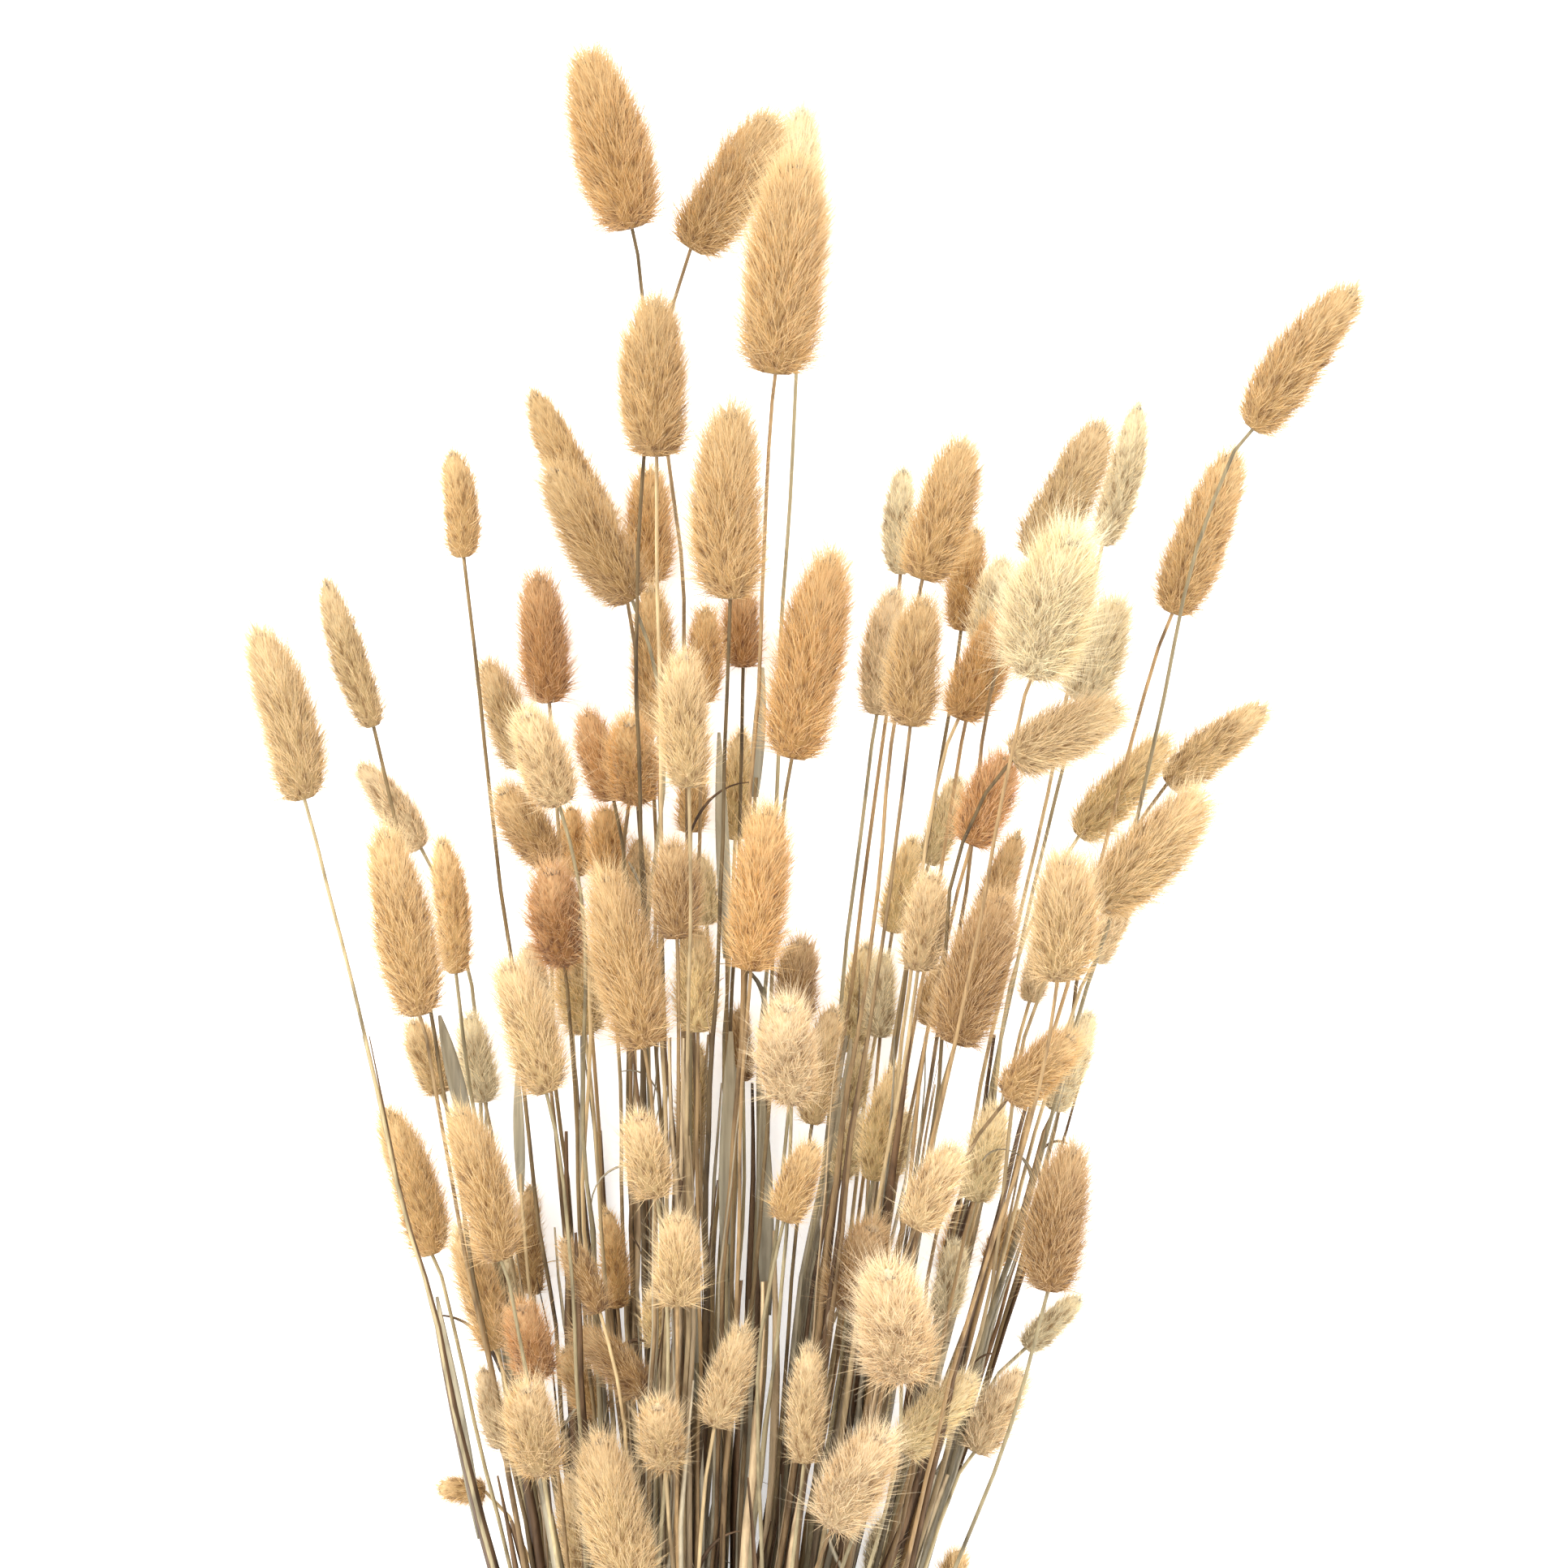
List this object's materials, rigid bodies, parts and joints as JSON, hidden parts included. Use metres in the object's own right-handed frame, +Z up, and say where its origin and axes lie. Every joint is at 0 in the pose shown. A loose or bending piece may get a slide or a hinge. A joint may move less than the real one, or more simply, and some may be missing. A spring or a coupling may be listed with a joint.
{
  "type": "dried bunny tail grass bunch",
  "caption": "Bunch of dried bunny tail grass lying on its side: soft oval flower heads on thin cut stems that fan out from a wound twine tie.",
  "frame": {"origin": "on the surface the bunch lies on, at the flat underside of the twine tie's middle turn", "axes": "+Y runs along the bunch from the cut ends to the flower heads, +Z is up from the surface, +X is to the right"},
  "size_m": [0.2769, 0.6159, 0.1161],
  "materials": {
    "dried_heads": "soft matt plumes in cream, straw, tan, rust and olive",
    "twine": "matt twisted natural fibre"
  },
  "bodies": {
    "root": {"spray_01": "dried_heads", "spray_02": "dried_heads", "spray_03": "dried_heads", "spray_04": "dried_heads", "spray_05": "dried_heads", "spray_06": "dried_heads", "spray_07": "dried_heads", "spray_08": "dried_heads", "spray_09": "dried_heads", "spray_10": "dried_heads", "spray_11": "dried_heads", "spray_12": "dried_heads", "spray_13": "dried_heads", "spray_14": "dried_heads", "spray_15": "dried_heads", "spray_16": "dried_heads", "spray_17": "dried_heads", "spray_18": "dried_heads", "spray_19": "dried_heads", "spray_20": "dried_heads", "spray_21": "dried_heads", "spray_22": "dried_heads", "spray_23": "dried_heads", "spray_24": "dried_heads", "spray_25": "dried_heads", "spray_26": "dried_heads", "spray_27": "dried_heads", "spray_28": "dried_heads", "spray_29": "dried_heads", "spray_30": "dried_heads", "spray_31": "dried_heads", "spray_32": "dried_heads", "spray_33": "dried_heads", "spray_34": "dried_heads", "spray_35": "dried_heads", "spray_36": "dried_heads", "spray_37": "dried_heads", "spray_38": "dried_heads", "spray_39": "dried_heads", "spray_40": "dried_heads", "spray_41": "dried_heads", "spray_42": "dried_heads", "spray_43": "dried_heads", "spray_44": "dried_heads", "twine_tie": "twine"}
  },
  "joints": []
}
